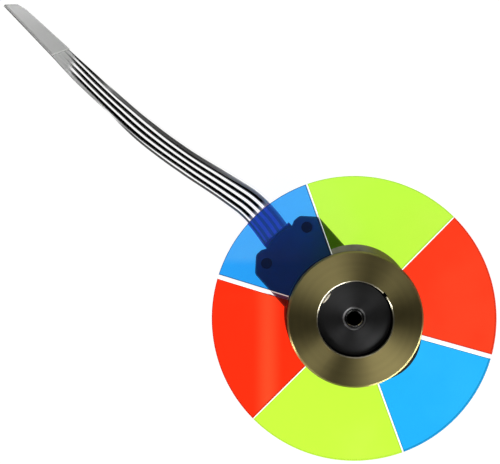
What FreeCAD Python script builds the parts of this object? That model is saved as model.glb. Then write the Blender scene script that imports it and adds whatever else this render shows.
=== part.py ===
# Colour wheel of a single-chip projector, lying on the rear face of its motor.
#
# Six dichroic glass segments are bonded to the flange of a spinning hub and held by a brass
# ring in front. Behind them an outer-rotor motor is built on a black base plate: a steel
# cup with a ring magnet turns round a nine-tooth wound core, on a shaft in two small ball
# bearings. A thin printed circuit lies in a recess of the plate's rear face and leaves
# between the two screw ears as a flat tail with a stiffened contact end.
#
# Frame, in millimetres: the origin is on the spin axis in the rear face of the base plate,
# +Z runs along the axis to the filter side, and +Y along the tail of the plate.

import FreeCAD
import Part

import math
import os

Vec = FreeCAD.Vector
UP = Vec(0, 0, 1)
ORIGIN = Vec(0, 0, 0)

# Clearances.
fit = 0.02  # radial room of a pressed or bonded fit
face_gap = 0.02  # room between two stacked faces
air_gap = 0.3  # radial room between magnet and core
film_room = 0.005  # room on each side of a thin layer
overcut = 1.0  # how far a cutting shape stands out of the piece it cuts

# Filters.
wheel_radius = 20.0
glass_thickness = 1.0
glass_bore_room = 0.25  # glass to hub boss
first_edge_angle = 3.4  # from +X to the edge between the last red and first green segment
segment_spans = (64.1, 53.4, 61.9, 65.3, 54.3, 61.0)  # degrees, in order round the wheel
segment_names = ("green_a", "blue_a", "red_a", "green_b", "blue_b", "red_b")
narrow_gap = 0.15
middle_gap = 0.22
wide_gap = 0.6
edge_gaps = (narrow_gap, middle_gap, wide_gap) * 2  # open width before each segment
bond_thickness = 0.08  # adhesive on both sides of the glass
bond_bore_step = 0.6  # from the glass bore to the adhesive's inner edge
rear_bond_inset = 0.2  # from the flange's edge
front_bond_inset = 0.25  # from the clamp ring's edge

# Hub, clamp ring and shaft.
hub_boss_radius = 5.15
hub_flange_thickness = 0.55
hub_face_drop = 1.2  # hub face below the face of the clamp ring
hub_edge_chamfer = 0.12
hub_boss_chamfer = 0.02
spigot_room = 0.05  # radial room of the hub's spigot inside the cup's hole
clamp_radius = 9.5
flange_lip = 0.05  # how far the hub's flange stands out beyond the ring
clamp_bore_room = 0.1
clamp_thickness = 1.45
clamp_outer_chamfer = 0.25
clamp_inner_chamfer = 0.12
clamp_groove_depth = 0.25
clamp_groove_width = 1.4
shaft_radius = 1.5
shaft_face_drop = 0.12
shaft_bore_chamfer = 0.18
puller_hole_radius = 1.0
puller_hole_depth = 3.2
puller_chamfer = 0.18
puller_tip_share = 0.5  # depth of the hole's pointed end, of its radius
shaft_rear_inset = 0.15
shaft_rear_rise = 0.1
shaft_edge_chamfer = 0.1
shaft_end_room = 0.08  # end of the shaft to the end cap
bead_angle = 101.5  # middle of the pale bead of glue in the corner of hub and ring
bead_span = 17.0
bead_width = 0.5
bead_rise = 0.4
# The bead's cross section, from its outer foot over its back to its inner foot: shares of half
# its width and of its height.
bead_section = ((1.0, 0.0), (0.9, 0.5), (0.5, 0.9), (0.0, 1.0), (-0.5, 0.75), (-0.85, 0.4),
                (-1.0, 0.0))
bead_end_width = 0.3  # width and height of the round ends' tops, as shares of the bead's
bead_end_rise = 0.8
nick_angle = -2.4  # small nick in the ring's inner edge
nick_width = 0.7  # along the edge
nick_reach = 0.28  # into the ring
nick_depth = 0.5

# Adhesive pressed out from under the ring: a round-backed crescent on two segments.
green_smear_angle = 46.0  # where it is widest
green_smear_reach = 0.9  # beyond the ring's edge
green_smear_radius = 7.9
blue_smear_angle = 280.0
blue_smear_reach = 0.7
blue_smear_radius = 6.5
smear_edge_room = 0.6  # degrees from the segment's straight edges

# Rotor cup and magnet.
cup_inset = 0.2  # the cup's side within the ring's edge
cup_wall = 0.8
cup_roof = 0.6
cup_rim_height = 2.2
cup_edge_chamfer = 0.25
cup_corner = 0.3  # inner corner under the roof
cup_roof_room = 0.3  # bearing tube to roof
magnet_thickness = 0.75
magnet_height = 3.0
mark_angle = 270.0
mark_span = 24.0
mark_rim_step = 0.6  # from the cup's rim to the mark
mark_thickness = 0.06
mark_height = 3.2

# Base plate.
plate_thickness = 1.2
plate_lip = 0.2  # how far the plate's round part stands out beyond the cup
tail_half_width = 6.4
tail_reach = 15.65
ear_hole_spacing = 8.1
ear_hole_setback = 2.01  # from the plate's front edge to the holes
ear_hole_radius = 0.85
ear_cut_reach = 1.65  # from the hole to the slanted cut across the ear's corner
ear_corner_radius = 0.9
ear_root_radius = 0.35
notch_depth = 0.35
front_rise = 0.52  # of the round front edge between the notches
plate_edge_chamfer = 0.2
ear_inner_share = 0.45  # of the cut's reach: where the ear's front edge turns into the notch
tube_wall = 0.75
core_seat_height = 2.75
core_seat_step = 0.5
channel_depth = 0.5
channel_width = 5.2
pad_field_width = 8.8
pad_field_low = 4.9
pad_field_high = 8.3
lead_hole_radius = 0.5

# Ball bearings.
bearing_radius = 3.0
bearing_width = 2.1
bearing_low = 0.87  # height of the lower bearing's rear face
clip_room = 0.25  # radial room round the snap ring
bearing_spread = 1.1  # free length between the two bearings
ball_radius = 0.42
ball_pitch_radius = 2.25
ball_count = 7
ball_room = 0.02
inner_shoulder_radius = 1.98
outer_shoulder_radius = 2.52
cage_thickness = 0.34
cage_below = 0.15
cage_above = 0.6
pocket_room = 0.04
shield_thickness = 0.12
shield_room = 0.07
shield_seat = 0.1
washer_waves = 3
washer_stock = 0.12  # thickness of the wave washer's strip
washer_room = 0.08  # radial room to the bearing seat
clip_thickness = 0.25
clip_radius = 2.1
clip_gap = 1.5
groove_depth = 0.3
cap_thickness = 0.3
cap_inset = 0.03
cap_lip = 0.3
cap_edge_chamfer = 0.05

# Wound core.
tooth_count = 9
core_thickness = 1.8
core_ring_wall = 1.0
tooth_width = 1.3
shoe_span = 31.0
shoe_thickness = 0.75
insulator_thickness = 0.2
winding_side = 0.72
winding_end = 0.55
winding_corner = 0.5
coil_end_room = 0.12
coil_inner_room = 0.25

# Printed circuit and its tail.
film_thickness = 0.15
tail_width = 5.1
conductor_count = 4
conductor_pitch = 1.0
strip_overhang = 0.35  # how far the circuit stands out of the plate before the free tail
lead_pitch = 1.6
lead_reach = 6.0  # distance of the solder pads from the axis
lead_radius = 0.12
solder_radius = 0.42
solder_height = 0.24
solder_tip_step = 0.1  # from the lead to the edge of the cone's narrow end
lead_end_room = 0.02  # from the lead's ends to the coil and to the solder's tip
film_hole_radius = 0.2
head_room = 0.15  # from the circuit's wide head to the edge of its recess
stiffener_length = 10.0
stiffener_thickness = 0.15
tip_corner_length = 1.2  # slanted corner of the tail's end, on its +X side
tip_corner_width = 0.9
pad_length = 4.0
pad_width = 0.6
pad_thickness = 0.04
pad_setback = 0.4

# The tail's route, chosen by hand for a plate whose front edge is at route_plate_edge: out
# of the plate, then along the surface it lies on.
route_plate_edge = 15.65
route_points = [
    (0.0, 16.0, 0.405),
    (0.6, 20.3, 0.85),
    (-0.85, 26.2, 1.32),
    (-2.77, 33.0, 1.64),
    (-4.25, 40.0, 1.74),
    (-4.98, 46.8, 2.03),
    (-5.66, 53.6, 2.15),
    (-6.06, 60.6, 2.3),
    (-6.5, 67.3, 2.43),
]
# How far the tail has turned over at each of those points, in degrees: its -X edge rises.
tail_rolls = (0.0, -14.0, -28.0, -38.0, -41.0, -51.0, -55.0, -62.0, -69.0)
tail_corner_share = 0.45  # of the shorter run: how far each corner's arc reaches

# Heights and radii that follow from the sizes above.
bearing_mid = bearing_low + bearing_width
upper_bearing_low = bearing_mid + bearing_spread
tube_top = upper_bearing_low + bearing_width
cup_roof_low = tube_top + cup_roof_room
cup_roof_high = cup_roof_low + cup_roof
flange_high = cup_roof_high + hub_flange_thickness
glass_low = flange_high + bond_thickness
glass_high = glass_low + glass_thickness
clamp_low = glass_high + bond_thickness
clamp_high = clamp_low + clamp_thickness
hub_face = clamp_high - hub_face_drop
shaft_face = hub_face - shaft_face_drop
hub_flange_radius = clamp_radius + flange_lip
cup_radius = clamp_radius - cup_inset
plate_round_radius = cup_radius + plate_lip
clamp_bore_radius = hub_boss_radius + clamp_bore_room
glass_bore_radius = hub_boss_radius + glass_bore_room
bond_bore_radius = glass_bore_radius + bond_bore_step
front_bond_radius = clamp_radius - front_bond_inset
tube_bore_radius = bearing_radius + fit
tube_radius = tube_bore_radius + tube_wall
core_bore_radius = tube_radius + fit
cup_bore_radius = cup_radius - cup_wall
magnet_radius = cup_bore_radius - fit
magnet_bore_radius = magnet_radius - magnet_thickness
core_radius = magnet_bore_radius - air_gap
core_low = core_seat_height + insulator_thickness
core_high = core_low + core_thickness
core_middle = (core_low + core_high) / 2
magnet_low = core_middle - magnet_height / 2
film_high = channel_depth - face_gap
film_low = film_high - film_thickness
cap_radius = bearing_radius + cap_lip
ear_hole_reach = tail_reach - ear_hole_setback
strip_end = tail_reach + strip_overhang
tail_route = [(x, y + tail_reach - route_plate_edge, z) for x, y, z in route_points]


def cylinder(radius, low, high, centre=(0.0, 0.0)):
    """A round bar along Z from height low to high."""
    return Part.makeCylinder(radius, high - low, Vec(centre[0], centre[1], low), UP)


def tube(outer, inner, low, high, centre=(0.0, 0.0)):
    """A plain ring along Z."""
    bore = cylinder(inner, low - overcut, high + overcut, centre)
    return cylinder(outer, low, high, centre).cut(bore)


def turned(profile):
    """A turned piece: the closed outline (radius, height) carried once round the axis."""
    corners = [Vec(radius, 0, height) for radius, height in profile]
    face = Part.Face(Part.makePolygon(corners + corners[:1]))
    return face.revolve(ORIGIN, UP, 360)


def block(x_low, x_high, y_low, y_high, z_low, z_high):
    """A rectangular block between two corners."""
    return Part.makeBox(x_high - x_low, y_high - y_low, z_high - z_low, Vec(x_low, y_low, z_low))


def polar(radius, degrees, height=0.0):
    """A point at that radius and angle from +X."""
    turn = math.radians(degrees)
    return Vec(radius * math.cos(turn), radius * math.sin(turn), height)


def turned_copy(shape, degrees):
    """A copy of the shape turned about the spin axis."""
    copy = shape.copy()
    copy.rotate(ORIGIN, UP, degrees)
    return copy


def ring_piece(outer, inner, low, high, start, span):
    """An arc of a ring, from angle start over span degrees."""
    edges = [
        Part.Arc(polar(outer, start), polar(outer, start + span / 2), polar(outer, start + span)),
        Part.LineSegment(polar(outer, start + span), polar(inner, start + span)),
        Part.Arc(polar(inner, start + span), polar(inner, start + span / 2), polar(inner, start)),
        Part.LineSegment(polar(inner, start), polar(outer, start)),
    ]
    face = Part.Face(Part.Wire([edge.toShape() for edge in edges]))
    face.translate(Vec(0, 0, low))
    return face.extrude(Vec(0, 0, high - low))


# Filters.
def filter_segment(start, end, gap_before, gap_after):
    """One glass segment: a sector whose straight edges stand half an open gap off the radius."""
    points = []
    for radius in (wheel_radius, glass_bore_radius):
        before = math.degrees(math.asin(gap_before / 2 / radius))
        after = math.degrees(math.asin(gap_after / 2 / radius))
        points.append((start + before, end - after))
    (outer_start, outer_end), (inner_start, inner_end) = points
    edges = [
        Part.Arc(
            polar(wheel_radius, outer_start),
            polar(wheel_radius, (outer_start + outer_end) / 2),
            polar(wheel_radius, outer_end),
        ),
        Part.LineSegment(polar(wheel_radius, outer_end), polar(glass_bore_radius, inner_end)),
        Part.Arc(
            polar(glass_bore_radius, inner_end),
            polar(glass_bore_radius, (inner_start + inner_end) / 2),
            polar(glass_bore_radius, inner_start),
        ),
        Part.LineSegment(polar(glass_bore_radius, inner_start), polar(wheel_radius, outer_start)),
    ]
    face = Part.Face(Part.Wire([edge.toShape() for edge in edges]))
    face.translate(Vec(0, 0, glass_low))
    return face.extrude(Vec(0, 0, glass_thickness))


def filters():
    """All six segments, named by colour."""
    made = {}
    start = first_edge_angle
    for i, name in enumerate(segment_names):
        end = start + segment_spans[i]
        gap_after = edge_gaps[(i + 1) % len(edge_gaps)]
        made["filter_" + name] = filter_segment(start, end, edge_gaps[i], gap_after)
        start = end
    return made


# Hub, clamp ring and adhesive.
def rotor_hub():
    """Black turned hub: boss through the glass, flange behind it, spigot on the bearing."""
    bore = shaft_radius + fit
    spigot = inner_shoulder_radius - spigot_room
    return turned([
        (bore, tube_top + face_gap),
        (spigot, tube_top + face_gap),
        (spigot, cup_roof_high),
        (hub_flange_radius - hub_edge_chamfer, cup_roof_high),
        (hub_flange_radius, cup_roof_high + hub_edge_chamfer),
        (hub_flange_radius, flange_high),
        (hub_boss_radius, flange_high),
        (hub_boss_radius, hub_face - hub_boss_chamfer),
        (hub_boss_radius - hub_boss_chamfer, hub_face),
        (bore + shaft_bore_chamfer, hub_face),
        (bore, hub_face - shaft_bore_chamfer),
    ])


def clamp_ring():
    """Turned brass ring in front of the glass, with a glue groove in its rear face."""
    middle = (clamp_bore_radius + clamp_radius) / 2
    ring = turned([
        (clamp_bore_radius, clamp_low),
        (middle - clamp_groove_width / 2, clamp_low),
        (middle - clamp_groove_width / 2, clamp_low + clamp_groove_depth),
        (middle + clamp_groove_width / 2, clamp_low + clamp_groove_depth),
        (middle + clamp_groove_width / 2, clamp_low),
        (clamp_radius, clamp_low),
        (clamp_radius, clamp_high - clamp_outer_chamfer),
        (clamp_radius - clamp_outer_chamfer, clamp_high),
        (clamp_bore_radius + clamp_inner_chamfer, clamp_high),
        (clamp_bore_radius, clamp_high - clamp_inner_chamfer),
    ])
    nick = block(hub_boss_radius - overcut, clamp_bore_radius + nick_reach,
                 -nick_width / 2, nick_width / 2, clamp_high - nick_depth, clamp_high + overcut)
    return ring.cut(turned_copy(nick, nick_angle))


def bond(outer, low):
    """A thin ring of adhesive."""
    return tube(outer, bond_bore_radius, low + film_room, low + bond_thickness - film_room)


def smear(segment, angle, reach, radius):
    """Adhesive pressed out over one segment: a disc off the axis, less what the bond covers.

    The disc touches the circle that lies that reach beyond the ring's edge, at that angle.
    """
    low = glass_high + film_room
    high = glass_high + bond_thickness - film_room
    outer = clamp_radius + reach
    centre = polar(outer - radius, angle)
    start = first_edge_angle + sum(segment_spans[:segment]) + smear_edge_room
    span = segment_spans[segment] - 2 * smear_edge_room
    sector = ring_piece(outer + overcut, front_bond_radius + film_room, low, high, start, span)
    return sector.common(cylinder(radius, low, high, (centre.x, centre.y)))


def smears():
    """The two crescents of adhesive."""
    return {
        "smear_green_a": smear(segment_names.index("green_a"), green_smear_angle,
                               green_smear_reach, green_smear_radius),
        "smear_blue_b": smear(segment_names.index("blue_b"), blue_smear_angle,
                              blue_smear_reach, blue_smear_radius),
    }


def adhesive_bead():
    """A bead of glue on the hub's rim against the ring, with a round back and round ends."""
    half = bead_width / 2
    radius = hub_boss_radius - half - hub_boss_chamfer
    floor = hub_face + film_room
    start = bead_angle - bead_span / 2
    corners = [polar(radius + half * out, start, floor + bead_rise * up)
               for out, up in bead_section]
    face = Part.Face(Part.makePolygon(corners + corners[:1]))
    body = face.revolve(ORIGIN, UP, bead_span)
    ends = []
    for angle in (start, start + bead_span):
        centre = polar(radius, angle)
        ends.append(Part.makeCone(half, half * bead_end_width, bead_rise * bead_end_rise,
                                  Vec(centre.x, centre.y, floor), UP))
    return body.fuse(ends).removeSplitter()


# Shaft, cup and magnet.
def shaft():
    """Shaft with a clip groove at the rear and a blind puller hole in its front end."""
    rear = cap_thickness + cap_inset + shaft_end_room
    groove_high = bearing_low - face_gap + film_room
    groove_low = groove_high - clip_thickness - 2 * film_room
    bottom = shaft_face - puller_hole_depth
    return turned([
        (0, rear),
        (shaft_radius - shaft_rear_inset, rear),
        (shaft_radius, rear + shaft_rear_rise),
        (shaft_radius, groove_low),
        (shaft_radius - groove_depth, groove_low),
        (shaft_radius - groove_depth, groove_high),
        (shaft_radius, groove_high),
        (shaft_radius, shaft_face - shaft_edge_chamfer),
        (shaft_radius - shaft_edge_chamfer, shaft_face),
        (puller_hole_radius + puller_chamfer, shaft_face),
        (puller_hole_radius, shaft_face - puller_chamfer),
        (puller_hole_radius, bottom),
        (0, bottom - puller_hole_radius * puller_tip_share),
    ])


def shaft_clip():
    """Open snap ring in the shaft's groove, under the lower bearing."""
    high = bearing_low - face_gap
    ring = tube(clip_radius, shaft_radius - groove_depth + fit, high - clip_thickness, high)
    slot = block(-clip_gap / 2, clip_gap / 2, -clip_radius - overcut, 0, 0, high + overcut)
    return ring.cut(slot)


def rotor_cup():
    """Drawn steel cup, open to the rear, with its roof under the hub flange."""
    return turned([
        (inner_shoulder_radius, cup_roof_low),
        (cup_bore_radius - cup_corner, cup_roof_low),
        (cup_bore_radius, cup_roof_low - cup_corner),
        (cup_bore_radius, cup_rim_height),
        (cup_radius, cup_rim_height),
        (cup_radius, cup_roof_high - face_gap - cup_edge_chamfer),
        (cup_radius - cup_edge_chamfer, cup_roof_high - face_gap),
        (inner_shoulder_radius, cup_roof_high - face_gap),
    ])


def ring_magnet():
    """Ring magnet bonded inside the cup, level with the core."""
    return tube(magnet_radius, magnet_bore_radius, magnet_low, magnet_low + magnet_height)


def index_mark():
    """Dark strip on the cup's side that a timing sensor reads."""
    low = cup_rim_height + mark_rim_step
    inner = cup_radius + film_room
    start = mark_angle - mark_span / 2
    return ring_piece(inner + mark_thickness, inner, low, low + mark_height, start, mark_span)


# Ball bearings.
def bearing(low, shield_on_top):
    """One shielded ball bearing, as its separate pieces."""
    high = low + bearing_width
    middle = (low + high) / 2
    groove = Part.makeTorus(ball_pitch_radius, ball_radius + ball_room, Vec(0, 0, middle), UP)
    inner = tube(inner_shoulder_radius, shaft_radius + fit, low, high).cut(groove)
    outer = tube(bearing_radius, outer_shoulder_radius, low, high).cut(groove)
    seat = outer_shoulder_radius + shield_seat
    shield_low = high - shield_thickness if shield_on_top else low
    seat_low = shield_low if shield_on_top else low - overcut
    seat_high = high + overcut if shield_on_top else low + shield_thickness
    outer = outer.cut(cylinder(seat, seat_low, seat_high))
    shield = tube(seat - fit, inner_shoulder_radius + shield_room, shield_low + film_room,
                  shield_low + shield_thickness - film_room)
    ball = Part.makeSphere(ball_radius, Vec(ball_pitch_radius, 0, middle))
    pocket = Part.makeSphere(ball_radius + pocket_room, Vec(ball_pitch_radius, 0, middle))
    step = 360 / ball_count
    balls = Part.makeCompound([turned_copy(ball, step * i) for i in range(ball_count)])
    side = 1 if not shield_on_top else -1
    cage_ends = sorted((middle - side * cage_below, middle + side * cage_above))
    cage = tube(ball_pitch_radius + cage_thickness / 2, ball_pitch_radius - cage_thickness / 2,
                *cage_ends)
    for i in range(ball_count):
        cage = cage.cut(turned_copy(pocket, step * i))
    return {"inner_ring": inner, "outer_ring": outer, "shield": shield, "balls": balls,
            "cage": cage}


def bearings():
    """Both bearings, the lower one shielded below and the upper one above."""
    made = {}
    for place, low, on_top in (("lower", bearing_low, False), ("upper", upper_bearing_low, True)):
        for piece, shape in bearing(low, on_top).items():
            made[place + "_bearing_" + piece] = shape
    return made


def preload_washer():
    """Wave washer between the two outer rings: a flat ring whose height swings as a cosine."""
    outer = bearing_radius - washer_room
    middle = (bearing_mid + upper_bearing_low) / 2
    swing = (bearing_spread - 2 * face_gap - washer_stock) / 2
    sections = []
    steps = 12 * washer_waves
    for i in range(steps):
        turn = 360 / steps * i
        height = middle + swing * math.cos(math.radians(washer_waves * turn))
        low = height - washer_stock / 2
        high = height + washer_stock / 2
        corners = [polar(outer_shoulder_radius, turn, low), polar(outer, turn, low),
                   polar(outer, turn, high), polar(outer_shoulder_radius, turn, high)]
        sections.append(Part.makePolygon(corners + corners[:1]))
    return Part.makeLoft(sections, True, True, True)


def end_cap():
    """Disc that closes the bearing seat in the plate's rear face."""
    return turned([
        (0, cap_inset),
        (cap_radius - cap_edge_chamfer, cap_inset),
        (cap_radius, cap_inset + cap_edge_chamfer),
        (cap_radius, cap_inset + cap_thickness),
        (0, cap_inset + cap_thickness),
    ])


# Base plate.
def rounded_corner(before, point, after, radius):
    """The two ends and the middle of an arc that rounds one corner of an outline."""
    back = (before - point).normalize()
    ahead = (after - point).normalize()
    half = back.getAngle(ahead) / 2
    reach = radius / math.tan(half)
    bisector = (back + ahead).normalize()
    middle = point + bisector * (radius / math.sin(half) - radius)
    return point + back * reach, middle, point + ahead * reach


def plate_outline():
    """Outline of the plate: a round base, and a tail with two ears beside the strip."""
    hole_x = ear_hole_spacing / 2
    root = Vec(tail_half_width, math.sqrt(plate_round_radius**2 - tail_half_width**2), 0)
    cut_sum = hole_x + ear_hole_reach + ear_cut_reach * math.sqrt(2)
    flank_top = Vec(tail_half_width, cut_sum - tail_half_width, 0)
    ear_top = Vec(cut_sum - tail_reach, tail_reach, 0)
    ear_inner = Vec(hole_x - ear_cut_reach * ear_inner_share, tail_reach, 0)
    notch = Vec(channel_width / 2, tail_reach - notch_depth, 0)
    corners = [
        rounded_corner(root, flank_top, ear_top, ear_corner_radius),
        rounded_corner(flank_top, ear_top, ear_inner, ear_corner_radius),
        rounded_corner(ear_top, ear_inner, notch, ear_root_radius),
    ]
    side = []
    last = root
    for first, middle, end in corners:
        side.append(Part.LineSegment(last, first).toShape())
        side.append(Part.Arc(first, middle, end).toShape())
        last = end
    side.append(Part.LineSegment(last, notch).toShape())
    other = [edge.mirror(ORIGIN, Vec(1, 0, 0)) for edge in side]
    mirrored_root = Vec(-root.x, root.y, 0)
    mirrored_notch = Vec(-notch.x, notch.y, 0)
    round_base = Part.Arc(root, Vec(0, -plate_round_radius, 0), mirrored_root).toShape()
    front = Part.Arc(mirrored_notch, Vec(0, notch.y + front_rise, 0), notch).toShape()
    edges = [round_base, *other, front, *side]
    return Part.Wire(Part.__sortEdges__(edges))


def lead_places():
    """Centres of the four coil leads and their solder pads."""
    first = -(conductor_count - 1) / 2 * lead_pitch
    return [(first + i * lead_pitch, lead_reach) for i in range(conductor_count)]


def base_plate():
    """Black base plate with bearing tube, core seat, screw ears and the circuit's recess."""
    slab = Part.Face(plate_outline()).extrude(Vec(0, 0, plate_thickness))
    top_edges = [e for e in slab.Edges
                 if all(abs(v.Z - plate_thickness) < 1e-6 for v in e.Vertexes)]
    slab = slab.makeChamfer(plate_edge_chamfer, top_edges)
    neck = cylinder(tube_radius, 0, tube_top)
    seat = cylinder(tube_radius + core_seat_step, 0, core_seat_height - face_gap)
    body = slab.fuse([neck, seat])
    below = -overcut
    above = plate_thickness + overcut
    body = body.cut(cylinder(tube_bore_radius, bearing_low - face_gap, tube_top + overcut))
    body = body.cut(cylinder(clip_radius + clip_room, 0, bearing_low))
    body = body.cut(cylinder(cap_radius + fit, below, cap_inset + cap_thickness + face_gap))
    for side in (-1, 1):
        body = body.cut(cylinder(ear_hole_radius, below, above,
                                 (side * ear_hole_spacing / 2, ear_hole_reach)))
    half = channel_width / 2
    body = body.cut(block(-half, half, pad_field_low, tail_reach + overcut, below,
                          channel_depth))
    half = pad_field_width / 2
    body = body.cut(block(-half, half, pad_field_low, pad_field_high, below, channel_depth))
    for place in lead_places():
        body = body.cut(cylinder(lead_hole_radius, below, above, place))
    return body.removeSplitter()


# Wound core.
def star(shoes, grow, low, high):
    """The core's star outline as a solid: inner ring, teeth and, if asked for, pole shoes."""
    ring_radius = core_bore_radius + core_ring_wall
    body = tube(ring_radius + grow, core_bore_radius, low, high)
    half = tooth_width / 2 + grow
    reach = core_radius - shoe_thickness / 2
    pieces = []
    for i in range(tooth_count):
        turn = 360 / tooth_count * i
        tooth = block(core_bore_radius, reach, -half, half, low, high)
        pieces.append(turned_copy(tooth, turn))
        if shoes:
            pieces.append(ring_piece(core_radius, core_radius - shoe_thickness, low, high,
                                     turn - shoe_span / 2, shoe_span))
    return body.fuse(pieces).removeSplitter()


def coil():
    """One coil on the tooth along +X: a rounded bundle with a hole for tooth and insulators."""
    inner_reach = core_bore_radius + core_ring_wall + coil_end_room + coil_inner_room
    outer_reach = core_radius - shoe_thickness - coil_end_room
    half_hole = tooth_width / 2 + 2 * fit
    half_width = half_hole + winding_side
    hole_low = core_low - insulator_thickness - fit
    hole_high = core_high + insulator_thickness + fit
    bundle = block(inner_reach, outer_reach, -half_width, half_width,
                   hole_low - winding_end, hole_high + winding_end)
    along = [e for e in bundle.Edges
             if abs(e.Vertexes[0].X - e.Vertexes[1].X) > fit]
    bundle = bundle.makeFillet(winding_corner, along)
    return bundle.cut(block(inner_reach - overcut, outer_reach + overcut, -half_hole,
                            half_hole, hole_low, hole_high))


def wound_core():
    """Core, its two insulators, and the coils of the three phases."""
    made = {
        "stator_core": star(True, 0.0, core_low, core_high),
        "lower_insulator": star(False, 0.0, core_low - insulator_thickness,
                                core_low - film_room),
        "upper_insulator": star(False, 0.0, core_high + film_room,
                                core_high + insulator_thickness),
    }
    one = coil()
    for i, phase in enumerate("uvw"):
        turns = range(i, tooth_count, 3)
        made["coils_phase_" + phase] = Part.makeCompound(
            [turned_copy(one, 360 / tooth_count * turn) for turn in turns])
    return made


# Printed circuit.
def flex_circuit():
    """The circuit's wide head under the solder pads, and its strip to the plate's edge."""
    half_head = pad_field_width / 2 - head_room
    half_strip = tail_width / 2
    head_high = pad_field_high - head_room
    right = [
        Vec(half_head, pad_field_low + head_room, 0),
        Vec(half_head, head_high, 0),
        Vec(half_strip, head_high, 0),
        Vec(half_strip, strip_end - film_room, 0),
    ]
    left = [Vec(-p.x, p.y, 0) for p in reversed(right)]
    face = Part.Face(Part.makePolygon(right + left + right[:1]))
    face.translate(Vec(0, 0, film_low))
    body = face.extrude(Vec(0, 0, film_thickness))
    for place in lead_places():
        body = body.cut(cylinder(film_hole_radius, 0, channel_depth, place))
    return body


def solder_joints():
    """Four solder cones under the circuit, one round each coil lead."""
    cones = []
    for x, y in lead_places():
        low = film_low - film_room - solder_height
        cone = Part.makeCone(lead_radius + solder_tip_step, solder_radius, solder_height,
                             Vec(x, y, low), UP)
        cones.append(cone.cut(cylinder(lead_radius + film_room, 0, channel_depth, (x, y))))
    return Part.makeCompound(cones)


def lead_wires():
    """Four coil leads from the windings down through the plate to the solder."""
    high = core_low - insulator_thickness - fit - winding_end - lead_end_room
    low = film_low - solder_height + lead_end_room
    return Part.makeCompound([cylinder(lead_radius, low, high, place) for place in lead_places()])


# Flat tail.
def route_stations(route):
    """Points and directions along straight runs joined by tangent arcs, with distances.

    Each arc's radius is that share of the shorter run, divided by the tangent of half the
    turn.
    """
    points = [Vec(*p) for p in route]
    stations = [(points[0], (points[1] - points[0]).normalize())]
    radii = []
    for before, corner, after in zip(points, points[1:], points[2:]):
        arrive = (corner - before).normalize()
        leave = (after - corner).normalize()
        cut = tail_corner_share * min((corner - before).Length, (after - corner).Length)
        turn = arrive.getAngle(leave)
        radii.append(cut / math.tan(turn / 2))
        bisector = (leave - arrive).normalize()
        centre = corner + bisector * (radii[-1] / math.cos(turn / 2))
        stations.append((corner - arrive * cut, arrive))
        stations.append((centre - bisector * radii[-1], (arrive + leave).normalize()))
        stations.append((corner + leave * cut, leave))
    stations.append((points[-1], (points[-1] - points[-2]).normalize()))
    return stations, radii


def with_distance(stations):
    """The stations with their distance along the route."""
    made = []
    distance = 0.0
    last = stations[0][0]
    for point, direction in stations:
        distance += (point - last).Length
        made.append((distance, point, direction))
        last = point
    return made


def station_at(stations, distance):
    """A station put in at that distance, on the straight line between its neighbours."""
    for (d0, p0, t0), (d1, p1, t1) in zip(stations, stations[1:]):
        if d0 <= distance <= d1:
            share = (distance - d0) / (d1 - d0)
            return (distance, p0 + (p1 - p0) * share, (t0 + (t1 - t0) * share).normalize())
    return stations[-1]


def roll_at(distance):
    """How far the tail has turned over at that distance, straight between the route's points."""
    points = [Vec(*p) for p in tail_route]
    reach = 0.0
    for (a, b), (low, high) in zip(zip(points, points[1:]), zip(tail_rolls, tail_rolls[1:])):
        run = (b - a).Length
        if distance <= reach + run:
            return math.radians(low + (high - low) * (distance - reach) / run)
        reach += run
    return math.radians(tail_rolls[-1])


def film_frame(distance, along):
    """The directions across and out of the film at that distance, where it runs along."""
    turn = roll_at(distance)
    level = along.cross(UP).normalize()
    rise = level.cross(along).normalize()
    across = level * math.cos(turn) + rise * math.sin(turn)
    normal = rise * math.cos(turn) - level * math.sin(turn)
    return across, normal


def ribbon(stations, start, end, side_low, side_high, low, high):
    """A flat strip along the route that turns over as it goes, between two distances.

    side_low to side_high is its width and low to high its thickness, both from the middle
    of the film.
    """
    inside = [s for s in stations if start + film_thickness < s[0] < end - film_thickness]
    wires = []
    for distance, point, along in [station_at(stations, start), *inside,
                                   station_at(stations, end)]:
        across, normal = film_frame(distance, along)
        corners = [point + across * a + normal * b for a, b in
                   ((side_low, low), (side_high, low), (side_high, high), (side_low, high))]
        wires.append(Part.makePolygon(corners + corners[:1]))
    return Part.makeLoft(wires, True, True)


def tip_corner(stations):
    """The block that takes the +X corner off the end of the tail and its stiffener."""
    total, tip, along = stations[-1]
    across, normal = film_frame(total, along)
    corner = tip + across * (tail_width / 2)
    back = corner - along * tip_corner_length
    side = corner - across * tip_corner_width
    outline = [back, side, side + along * overcut, corner + (along + across) * overcut,
               back + across * overcut]
    face = Part.Face(Part.makePolygon(outline + outline[:1]))
    face.translate(normal * -overcut)
    return face.extrude(normal * 2 * overcut)


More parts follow.
